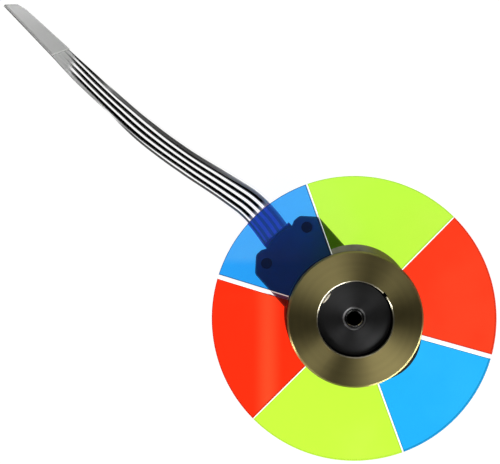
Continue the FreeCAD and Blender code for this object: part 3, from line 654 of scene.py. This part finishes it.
def plate_material(look):
    """The plate's dark coating, with a painted streak of light: a pale glow where light falls
    through a gap in the wheel.

    The streak lies a little past the gap's middle, where the camera sees the plate through it.
    """
    material = coated_material("plate_coat", tuple(look.plate), 0.55, grain_size=0.08 * MM)
    tree = material.node_tree
    gap_angle, half_gap = SEGMENTS["blue_a"]
    streak = sheen_mask(tree, gap_angle + 90.0, 0.3 * half_gap, half_gap, 0.05 * MM)
    shader = tree.nodes["Principled BSDF"]
    # Painted light: the streak glows as emission.
    glow = mixed(tree, streak, (0.0, 0.0, 0.0), (0.58, 0.49, 0.44))
    tree.links.new(glow, shader.inputs["Emission Color"])
    shader.inputs["Emission Strength"].default_value = 1.0
    return material


def winding_material(name, copper, wire):
    """Enamelled wire side by side on a tooth: a round ridge at each step out from the axis."""
    material = coated_material(name, copper, 0.25, metallic=0.85)
    tree = material.node_tree
    shader = tree.nodes["Principled BSDF"]
    steps = math_node(tree, "DIVIDE", axis_distance(tree), wire)
    ridge = math_node(tree, "PINGPONG", steps, 0.5)
    bump(tree, shader, between(tree, ridge, 0.0, 0.5), wire * 0.4)
    return material


def stack_material(name, base):
    """The stamped sheets of the core, seen on their edges."""
    material, tree, shader = new_material(name, Metallic=0.9, Roughness=0.45)
    sheets = effect(tree, "layers", Sheet=0.2 * MM)
    dark = tuple(0.45 * c for c in base)
    tree.links.new(mixed(tree, sheets.outputs["Height"], dark, base), shader.inputs["Base Color"])
    bump(tree, shader, sheets.outputs["Height"], 0.01 * MM)
    return material


def cable_parts(tree, length, width):
    """Distance along the cable and across it from its middle, in mm, from its own UV."""
    place = add(tree, "UVMap", uv_map="cable")
    split = add(tree, "SeparateXYZ")
    tree.links.new(place.outputs[0], split.inputs[0])
    along = math_node(tree, "MULTIPLY", split.outputs[0], length / MM)
    middle = math_node(tree, "SUBTRACT", split.outputs[1], 0.5)
    return along, math_node(tree, "MULTIPLY", middle, width / MM)


def cable_material(cable, length):
    """Film with dark conductors under it.

    Distances are in mm along the cable and across it from its middle. Each conductor is a dark
    stripe. They stand closer near the wheel, and thin out on a slant where the stiffened end's grey
    comes in. On the far side the last one is half hidden by a grey band, painted shade where that
    edge turns down, darker further out and further along, with a clear edge beyond it, and the near
    side has a thin line that turns into a pale grey edge. The film itself is almost clear, and
    tinted and solid where it leaves the plate.
    """
    material, tree, shader = new_material("cable_film", Roughness=0.3)
    along, across = cable_parts(tree, length, cable.width)
    edge = cable.width / MM / 2
    grey_start = (length - cable.grey_length - cable.grey_fade) / MM

    pitch = between(tree, along, *PITCH_WIDENS, cable.pitch / MM,
                    cable.pitch / MM * (1 + cable.spread))
    shift = between(tree, along, *STRIPES_SHIFT, cable.near_shift / MM, cable.far_shift / MM)
    from_middle = math_node(tree, "SUBTRACT", across, shift)
    steps = math_node(tree, "ADD", math_node(tree, "DIVIDE", from_middle, pitch),
                      (cable.count - 1) / 2)
    nearest = largest(tree, math_node(tree, "ROUND", steps), 0.0)
    nearest = math_node(tree, "MINIMUM", nearest, cable.count - 1.0)
    away = math_node(tree, "ABSOLUTE", math_node(tree, "SUBTRACT", steps, nearest))
    half = 0.5 * cable.conductor / cable.pitch
    slant = math_node(tree, "SUBTRACT", along, math_node(tree, "MULTIPLY", across, 0.8))
    thinning = between(tree, slant, grey_start - 3.0, grey_start + 3.5, 0.0, 0.6 * half)
    stripe = between(tree, math_node(tree, "ADD", away, thinning), half - 0.05, half + 0.05,
                     1.0, 0.0)
    stripe = product(tree, stripe, between(tree, slant, grey_start - 1.2, grey_start + 3.0,
                                           1.0, 0.0))

    nearer = between(tree, along, *BAND_FADES, 1.0, 0.0)
    inner = between(tree, along, *BAND_MOVES, *BAND_INNER)
    past = math_node(tree, "SUBTRACT", across, inner)
    band = product(tree, between(tree, past, -0.05, 0.05), nearer)
    place = between(tree, along, *LINE_MOVES, edge - 0.35, edge - 0.2)
    line = between(tree, math_node(tree, "ABSOLUTE", math_node(tree, "ADD", across, place)),
                   0.08, 0.2, 1.0, 0.0)
    line = product(tree, line, between(tree, along, *LINE_FADES, 0.85, 0.0))
    stripe = product(tree, stripe, math_node(tree, "SUBTRACT", 1.0, band))
    rim = between(tree, math_node(tree, "ABSOLUTE", math_node(tree, "SUBTRACT", across,
                                                              RIM_PLACE)),
                  0.04, 0.2, 0.7, 0.0)
    rim = product(tree, rim, between(tree, along, *RIM_COMES),
                  between(tree, along, *RIM_GOES, 1.0, 0.0))

    grey_slant = math_node(tree, "SUBTRACT", along, math_node(tree, "MULTIPLY", across, 0.4))
    grey_end = between(tree, grey_slant, grey_start - 1.0, grey_start - 1.0 + cable.grey_fade / MM)
    fringe = product(tree, between(tree, across, 0.4 - edge, 0.8 - edge, 0.7, 0.0),
                     between(tree, along, *FRINGE_COMES))
    grey_end = largest(tree, grey_end, fringe)
    root = between(tree, along, *ROOT_ENDS, 1.0, 0.0)
    fade = between(tree, along, *ROOT_STRIPES, 0.55, 1.0)
    stripe = product(tree, stripe, fade)
    # Painted shade: the far edge band is grey, darker further out and further along.
    margin = mixed(tree, between(tree, along, *MARGIN_DARKENS), tuple(cable.near_margin),
                   tuple(cable.margin))
    darker = largest(tree, between(tree, past, 0.0, 0.55, 0.5, 0.0),
                     between(tree, along, *BAND_DARKENS, 0.0, 0.5))
    margin = mixed(tree, darker, margin, (0.0, 0.0, 0.0))
    film = mixed(tree, root, tuple(cable.film), tuple(cable.root))
    film = mixed(tree, grey_end, film, tuple(cable.stiffener))
    film = mixed(tree, line, film, tuple(0.5 * c for c in cable.margin))
    film = mixed(tree, product(tree, band, fade), film, margin)
    film = mixed(tree, rim, film, tuple(0.3 * c for c in cable.margin))
    tree.links.new(mixed(tree, stripe, film, tuple(cable.dark)), shader.inputs["Base Color"])
    tree.links.new(between(tree, stripe, 0.0, 1.0, 0.5, 0.0), shader.inputs["Specular IOR Level"])

    solid = largest(tree, stripe, band, line, rim, root, grey_end)
    cover = between(tree, solid, 0.0, 0.8, 0.04, 1.0)
    cover = math_node(tree, "SUBTRACT", cover, product(tree, root, 1.0 - cable.root_solid))
    far_edge = math_node(tree, "ADD", across,
                         between(tree, along, *FAR_EDGE_NARROWS, cable.clear_edge / MM,
                                 cable.clear_end / MM))
    near_edge = math_node(tree, "SUBTRACT", between(tree, along, *NEAR_EDGE_CLEARS, 0.0,
                                                    cable.clear_end / MM), across)
    clear = between(tree, largest(tree, far_edge, near_edge), edge - 0.06, edge + 0.06, 1.0, 0.03)
    tree.links.new(product(tree, cover, clear), shader.inputs["Alpha"])
    return material


def stiffener_material(cable, length):
    """The grey stiffened end: lighter towards its tip, with a thin dark line that fades out.

    The line runs on from the cable's last conductor, and the end face towards the wheel is painted a
    little darker: painted shade that tones down a lamp's light on it.
    """
    material = coated_material("stiffener", tuple(cable.stiffener), 0.45, spread=0.03)
    tree = material.node_tree
    shader = tree.nodes["Principled BSDF"]
    along, across = cable_parts(tree, length, cable.width)
    edge = cable.width / MM / 2
    start = (length - cable.stiffener_length) / MM
    tip = between(tree, along, start + 4.0, length / MM, 0.0, 0.8)
    tint_over(tree, shader, tip, (0.98, 0.98, 0.98))
    line = product(tree, between(tree, across, edge - 0.3, edge - 0.1, 0.0, 0.6),
                   between(tree, along, start, start + 4.0, 1.0, 0.0))
    # Painted shade on the end face towards the wheel.
    wall = between(tree, along, start + 0.02, start + 0.1, 0.15, 0.0)
    tint_over(tree, shader, largest(tree, line, wall), tuple(0.3 * c for c in cable.stiffener))
    return material


# The cable: a smooth line through its route, and strips carried along it.


def smooth_line(route):
    """Points of a NURBS curve with the route's points as its control points."""
    curve = bpy.data.curves.new("cable_route", "CURVE")
    curve.dimensions = "3D"
    curve.resolution_u = 24
    spline = curve.splines.new("NURBS")
    spline.points.add(len(route) - 1)
    spline.points.foreach_set("co", np.array([(*p, 1.0) for p in route]).ravel())
    spline.order_u = 3
    spline.use_endpoint_u = True
    holder = bpy.data.objects.new("cable_route", curve)
    mesh = bpy.data.meshes.new_from_object(holder)
    line = np.array([tuple(v.co) for v in mesh.vertices])
    bpy.data.meshes.remove(mesh)
    bpy.data.objects.remove(holder)
    bpy.data.curves.remove(curve)
    return line


def lengths(line):
    """Distance along a line at each of its points."""
    steps = np.linalg.norm(np.diff(line, axis=0), axis=1)
    return np.concatenate([[0.0], np.cumsum(steps)])


class Ribbon:
    """The cable's line with, at each station, the directions along, across and out of it.

    Its first section stands square to +Y, flush with the circuit in the plate.
    """

    def __init__(self, line, route, rolls, start, end, count):
        reach = lengths(line)
        at = np.linspace(start, end, count)
        self.distance = at
        self.total = reach[-1]
        self.middle = np.stack([np.interp(at, reach, line[:, k]) for k in range(3)], 1)
        slope = np.gradient(line, reach, axis=0)
        along = np.stack([np.interp(at, reach, slope[:, k]) for k in range(3)], 1)
        along /= np.linalg.norm(along, axis=1)[:, None]
        if start == 0.0:
            along[0] = (0.0, 1.0, 0.0)
        corners = lengths(np.array(route))
        roll = np.radians(np.interp(at, corners * reach[-1] / corners[-1], rolls))[:, None]
        level = np.cross(along, (0.0, 0.0, 1.0))
        level /= np.linalg.norm(level, axis=1)[:, None]
        rise = np.cross(level, along)
        self.across = level * np.cos(roll) + rise * np.sin(roll)
        self.out = rise * np.cos(roll) - level * np.sin(roll)

    def strip(self, side, height, corner=(1.0, 0.0)):
        """Points of a closed section (side, height) carried along the ribbon.

        Over the corner's length before the cable's end, the +side edge comes in on a straight
        slant by the corner's width.
        """
        length, width = corner
        slant = np.clip(1.0 - (self.total - self.distance) / length, 0.0, 1.0)[:, None]
        drawn = np.where(side > 0.0, side * (1.0 - slant * width / side.max()), side)
        return (self.middle[:, None] + self.across[:, None] * drawn[:, :, None]
                + self.out[:, None] * height[None, :, None])


def strip_mesh(name, ribbon, side, height, slot, material, corner=(1.0, 0.0)):
    """A closed strip: the section goes round at each station, and both ends are closed.

    Its UV is the share of the cable's length, and the share of the section's width.
    """
    points = ribbon.strip(side, height, corner)
    rows, columns = points.shape[:2]
    faces = grid_faces(rows, columns, True)
    caps = [list(range(columns)), list(range((rows - 1) * columns, rows * columns))[::-1]]
    piece = mesh_piece(name, points.reshape(-1, 3), faces[:, ::-1], "stator", material, caps)
    uv = piece.data.uv_layers.new(name="cable")
    vertex = np.empty(len(piece.data.loops), dtype=np.int32)
    piece.data.loops.foreach_get("vertex_index", vertex)
    row, column = np.divmod(vertex, columns)
    width = side.max() - side.min()
    place = [ribbon.distance[row] / ribbon.total, (side[column] - side.min()) / width]
    uv.data.foreach_set("uv", np.stack(place, 1).ravel())
    return piece


def flat_section(low, high, bottom, top, count):
    """A rectangle as a closed line: along the bottom one way and along the top the other."""
    side = np.linspace(low, high, count)
    return np.concatenate([side, side[::-1]]), np.repeat([bottom, top], count)


class OBJECT_OT_wheel_cable(bpy.types.Operator):
    """Makes the flat cable, its stiffened end and its bare contacts"""

    bl_idname = "object.wheel_cable"
    bl_label = "Flat cable"

    def execute(self, context):
        cable = context.scene.wheel_cable
        line = smooth_line(CABLE_ROUTE)
        total = lengths(line)[-1]
        ribbon = Ribbon(line, CABLE_ROUTE, CABLE_ROLLS, 0.0, total, 150)
        half = cable.width / 2
        side, height = flat_section(-half, half, -cable.thickness / 2, cable.thickness / 2, 81)
        wave = np.cos(2 * np.pi * (side + half) / cable.pitch)
        inside = np.abs(side) < cable.count / 2 * cable.pitch
        top = height > 0
        height = height + top * inside * cable.rib * np.clip(wave + 0.35, 0.0, 1.0)
        corner = (cable.corner_length, cable.corner_width)
        piece = strip_mesh("cable", ribbon, side, height, "film", cable_material(cable, total),
                           corner)
        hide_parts("flex_tail")

        end = Ribbon(line, CABLE_ROUTE, CABLE_ROLLS, total - cable.stiffener_length, total, 40)
        low = cable.thickness / 2 + cable.rib + 0.005 * MM
        reach = half - cable.clear_end
        section = flat_section(-reach, reach, low, low + cable.stiffener_thickness - cable.rib, 12)
        stiffener = strip_mesh("cable_stiffener", end, *section, "stiffener_grey",
                               stiffener_material(cable, total), corner)
        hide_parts("contact_stiffener")

        plated = coated_material("contacts", (0.8, 0.62, 0.3), 0.25, metallic=1.0)
        bare = Ribbon(line, CABLE_ROUTE, CABLE_ROLLS, total - 0.4 * MM - cable.contact_length,
                      total - 0.4 * MM, 12)
        for i in range(cable.count):
            middle = (i - (cable.count - 1) / 2) * cable.pitch
            section = flat_section(middle - cable.contact_width / 2,
                                   middle + cable.contact_width / 2,
                                   -cable.thickness / 2 - 0.045 * MM,
                                   -cable.thickness / 2 - 0.005 * MM, 6)
            contact = strip_mesh("cable_contact_%d" % (i + 1), bare, *section, "contact_metal",
                                 plated)
            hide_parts("contact_pads")
        return {"FINISHED"}


class OBJECT_OT_wheel_filters(bpy.types.Operator):
    """Gives the six filter segments their coated glass"""

    bl_idname = "object.wheel_filters"
    bl_label = "Filter glass"

    def execute(self, context):
        look = context.scene.wheel_filters
        for name in SEGMENTS:
            dress(glass_material(look, name, TINT_BANDS.get(name, [])), "filter_" + name)
        return {"FINISHED"}


class OBJECT_OT_wheel_hub(bpy.types.Operator):
    """Gives the clamp ring, hub, shaft and glue their turned and glossy finishes"""

    bl_idname = "object.wheel_hub"
    bl_label = "Hub and clamp ring"

    def execute(self, context):
        look = context.scene.wheel_metal
        pitch = look.groove_pitch
        ring_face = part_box("clamp_ring")[1][2]
        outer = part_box("clamp_ring")[1][0]
        dress(ring_material(look, ring_face, look.bright_radius, outer), "clamp_ring")
        dress(hub_material("turned_black", tuple(look.black), pitch, look.glint_radius,
                           look.hub_rim), "rotor_hub")
        dress(turned_material("cap_black", tuple(look.black), 0.42, pitch), "end_cap")
        dress(shaft_material(look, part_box("shaft")[1][2]), "shaft")
        dress(turned_material("spring_steel", (0.4, 0.4, 0.41), 0.3, pitch), "shaft_clip")
        dress(coated_material("bond", (0.12, 0.11, 0.09), 0.4), "rear_bond", "front_bond")
        # The +Y smear glows as painted light; the -Y smear is near-black, painted shade beside the
        # ring.
        dress(smear_material("smears", (0.22, 0.22, 0.15), (0.195, 0.215, 0.034),
                             (0.03, 0.035, 0.03), 0.48),
              "smear_green_a", "smear_blue_b")
        self.bead(look)
        return {"FINISHED"}

    def bead(self, look):
        """The bead of glue: an ellipse carried round an arc, thinning to nothing at both ends.

        The arc's angle runs with u from -1 to 1, and the ellipse's size goes with the square
        root of 1 - u squared; each end is one point.
        """
        u = np.sin(np.linspace(-0.5, 0.5, 41) * np.pi)[1:-1]
        v = np.linspace(0.0, 2 * np.pi, 24, endpoint=False)
        angle = np.radians(look.bead_angle + u * look.bead_span / 2)
        grow = np.sqrt(1.0 - u * u)
        radius = look.bead_radius + 0.5 * look.bead_width * grow[:, None] * np.cos(v)[None, :]
        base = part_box("adhesive_bead")[0][2]
        height = base + look.bead_rise * grow[:, None] * np.clip(np.sin(v), 0.0, 1.0)[None, :]
        points = np.stack([radius * np.cos(angle)[:, None], radius * np.sin(angle)[:, None],
                           height], 2).reshape(-1, 3)
        rows, columns = len(u), len(v)
        tips = [(look.bead_radius * np.cos(a), look.bead_radius * np.sin(a), base)
                for a in np.radians(look.bead_angle + np.array([-0.5, 0.5]) * look.bead_span)]
        points = np.concatenate([points, tips])
        faces = grid_faces(rows, columns, True)
        first, last = rows * columns, rows * columns + 1
        ends = [(first, (j + 1) % columns, j) for j in range(columns)]
        low = (rows - 1) * columns
        ends += [(last, low + j, low + (j + 1) % columns) for j in range(columns)]
        cream = coated_material("cream_glue", (0.88, 0.79, 0.62), 0.15)
        bead = mesh_piece("glue_bead", points, faces, "rotor", cream, ends)
        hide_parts("adhesive_bead")


class OBJECT_OT_wheel_motor(bpy.types.Operator):
    """Dresses the rotor cup, magnet, core, bearings and base plate"""

    bl_idname = "object.wheel_motor"
    bl_label = "Motor"

    def execute(self, context):
        look = context.scene.wheel_metal
        dress(turned_material("cup_steel", tuple(look.cup), 0.45, look.groove_pitch,
                              anisotropic=0.3), "rotor_cup")
        dress(plate_material(look), "base_plate")
        dress(coated_material("ferrite", (0.06, 0.06, 0.065), 0.6), "ring_magnet")
        dress(stack_material("core_sheets", (0.4, 0.4, 0.42)), "stator_core")
        dress(coated_material("insulator", (0.82, 0.8, 0.72), 0.5), "lower_insulator",
              "upper_insulator")
        dress(coated_material("timing_mark", (0.015, 0.015, 0.015), 0.7), "index_mark")
        dress(coated_material("solder", (0.75, 0.75, 0.77), 0.25, metallic=1.0), "solder_joints")
        polished = coated_material("bearing_steel", (0.72, 0.72, 0.73), 0.15, metallic=1.0)
        brushed = coated_material("stamped_steel", (0.55, 0.54, 0.5), 0.35, metallic=1.0)
        for place in ("lower", "upper"):
            dress(polished, *(place + "_bearing_" + part
                              for part in ("inner_ring", "outer_ring", "balls")))
            dress(brushed, place + "_bearing_cage", place + "_bearing_shield")
        dress(brushed, "preload_washer")
        dress(coated_material("circuit_film", (0.5, 0.3, 0.6), 0.3, spread=0.05), "flex_circuit")
        return {"FINISHED"}


class OBJECT_OT_wheel_windings(bpy.types.Operator):
    """Gives the nine coils their wire, and dresses the leads"""

    bl_idname = "object.wheel_windings"
    bl_label = "Windings"

    def execute(self, context):
        look = context.scene.wheel_windings
        dress(coated_material("coil_leads", tuple(look.copper), 0.25, metallic=0.85), "lead_wires")
        dress(winding_material("enamelled_wire", tuple(look.copper), look.wire),
              "coils_phase_u", "coils_phase_v", "coils_phase_w")
        return {"FINISHED"}


# The stage: floor, lamps and camera.

CAMERA_FROM_AXIS = (-2.75 * MM, 18.80 * MM)
CAMERA_TURN = -42.0
# The floor glows everywhere but under the base plate: a square patch that the plate covers. That
# patch is also painted darker, painted shade that shows through the plate's holes.
PLATE_MIDDLE = 9.7 * MM
PLATE_COVER = 5.1 * MM


# The lamps: picture azimuth and elevation in degrees, width and height in metres, and strength as
# a share of the main light's setting.
LAMPS = {
    "main_softbox": (-52.0, 48.0, 0.22, 0.30, 0.68),
    "back_softbox": (86.0, 40.0, 0.30, 0.20, 0.28),
    "side_softbox": (237.0, 42.0, 0.18, 0.20, 0.8),
    "low_softbox": (-44.0, 7.0, 0.50, 0.10, 3.6),
    "low_side_softbox": (212.0, 6.0, 0.08, 0.07, 0.6),
}
LAMP_DISTANCE = 0.5
LAMPS_AIM_HEIGHT = 8.0 * MM


def softbox(name, azimuth, elevation, width, height, power):
    """A square lamp at that picture azimuth and elevation, aimed at the hub."""
    lamp = bpy.data.lights.new(name, "AREA")
    lamp.shape = "RECTANGLE"
    lamp.size = width
    lamp.size_y = height
    lamp.energy = power
    box = bpy.data.objects.new(name, lamp)
    turn = np.radians(azimuth + CAMERA_TURN)
    rise = np.radians(elevation)
    aim = np.array([np.cos(turn) * np.cos(rise), np.sin(turn) * np.cos(rise), np.sin(rise)])
    side = np.array([-np.sin(turn), np.cos(turn), 0.0])
    place = Matrix.Identity(4)
    place.col[0][:3] = side
    place.col[1][:3] = np.cross(aim, side)
    place.col[2][:3] = aim
    place.col[3][:3] = aim * LAMP_DISTANCE + np.array([0.0, 0.0, LAMPS_AIM_HEIGHT])
    box.matrix_world = place
    bpy.context.scene.collection.objects.link(box)


class OBJECT_OT_wheel_stage(bpy.types.Operator):
    """Makes the pale floor, the lamps and the camera straight above"""

    bl_idname = "object.wheel_stage"
    bl_label = "Stage"

    def execute(self, context):
        look = context.scene.wheel_stage
        scene = context.scene
        material, tree, shader = new_material("pale_floor", Emission_Strength=look.floor_glow)
        x, y, _ = place_parts(tree)
        sideways = math_node(tree, "ABSOLUTE", x)
        lengthways = math_node(tree, "SUBTRACT", y, PLATE_MIDDLE)
        reach = math_node(tree, "MAXIMUM", sideways, math_node(tree, "ABSOLUTE", lengthways))
        open_floor = between(tree, reach, PLATE_COVER - 0.2 * MM, PLATE_COVER)
        tree.links.new(mixed(tree, open_floor, (0.0, 0.0, 0.0), (1.0, 1.0, 1.0)),
                       shader.inputs["Emission Color"])
        # Painted shade: the floor under the plate gives no glow and is darker.
        tree.links.new(mixed(tree, open_floor, (0.03, 0.03, 0.03), (0.2, 0.2, 0.2)),
                       shader.inputs["Base Color"])
        grain = effect(tree, "grain", Grain_size=1.0 * MM, Smudge_size=40.0 * MM)
        tree.links.new(between(tree, grain.outputs["Smudge"], 0.2, 0.8, 0.75, 0.85),
                       shader.inputs["Roughness"])
        half = 1.5
        side = np.linspace(-half, half, 9)
        x, y = (a.ravel() for a in np.meshgrid(side, side, indexing="ij"))
        points = np.stack([x, y, np.full_like(x, -0.02 * MM)], 1)
        mesh = bpy.data.meshes.new("floor")
        mesh.from_pydata(points.tolist(), [], grid_faces(9, 9, False)[:, ::-1].tolist())
        mesh.materials.append(material)
        floor = bpy.data.objects.new("floor", mesh)
        scene.collection.objects.link(floor)

        for name, (azimuth, elevation, width, height, strength) in LAMPS.items():
            softbox(name, azimuth, elevation, width, height, look.main_light * strength)

        world = bpy.data.worlds.new("studio")
        scene.world = world
        world.use_nodes = True
        sky = world.node_tree
        direction = add(sky, "TexCoord").outputs["Generated"]
        split = add(sky, "SeparateXYZ")
        sky.links.new(direction, split.inputs[0])
        overhead = between(sky, split.outputs[2], 0.80, 0.93, 0.35, 0.01)
        sky.links.new(overhead, sky.nodes["Background"].inputs["Strength"])

        data = bpy.data.cameras.new("camera")
        data.lens = look.lens
        data.sensor_width = 36.0
        data.clip_start = 0.005
        camera = bpy.data.objects.new("camera", data)
        glass_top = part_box("filter_green_a")[1][2]
        camera.matrix_world = (Matrix.Translation((*CAMERA_FROM_AXIS, glass_top + look.height))
                               @ Matrix.Rotation(np.radians(CAMERA_TURN), 4, "Z"))
        scene.collection.objects.link(camera)
        scene.camera = camera
        scene.view_settings.view_transform = "Standard"
        return {"FINISHED"}


class VIEW3D_PT_wheel(bpy.types.Panel):
    """Settings of the colour wheel"""

    bl_label = "Colour wheel"
    bl_space_type = "VIEW_3D"
    bl_region_type = "UI"
    bl_category = "Colour wheel"

    def draw(self, context):
        for name, operator in STEPS:
            group = getattr(context.scene, name)
            box = self.layout.box()
            box.operator(operator)
            for key in group.__annotations__:
                box.prop(group, key)


SETTINGS = {
    "wheel_filters": FilterSettings,
    "wheel_metal": MetalSettings,
    "wheel_cable": CableSettings,
    "wheel_windings": WindingSettings,
    "wheel_stage": StageSettings,
}
STEPS = (
    ("wheel_stage", "object.wheel_stage"),
    ("wheel_cable", "object.wheel_cable"),
    ("wheel_filters", "object.wheel_filters"),
    ("wheel_metal", "object.wheel_hub"),
    ("wheel_metal", "object.wheel_motor"),
    ("wheel_windings", "object.wheel_windings"),
)
CLASSES = (
    *SETTINGS.values(),
    OBJECT_OT_wheel_stage,
    OBJECT_OT_wheel_cable,
    OBJECT_OT_wheel_filters,
    OBJECT_OT_wheel_hub,
    OBJECT_OT_wheel_motor,
    OBJECT_OT_wheel_windings,
    VIEW3D_PT_wheel,
)


def register():
    for item in CLASSES:
        bpy.utils.register_class(item)
    for name, group in SETTINGS.items():
        setattr(bpy.types.Scene, name, PointerProperty(type=group))


def unregister():
    for name in SETTINGS:
        delattr(bpy.types.Scene, name)
    for item in reversed(CLASSES):
        bpy.utils.unregister_class(item)


def main():
    register()
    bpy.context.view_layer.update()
    for _, operator in STEPS:
        family, name = operator.split(".")
        getattr(getattr(bpy.ops, family), name)()
    bpy.context.view_layer.update()


if __name__ == "__main__":
    main()
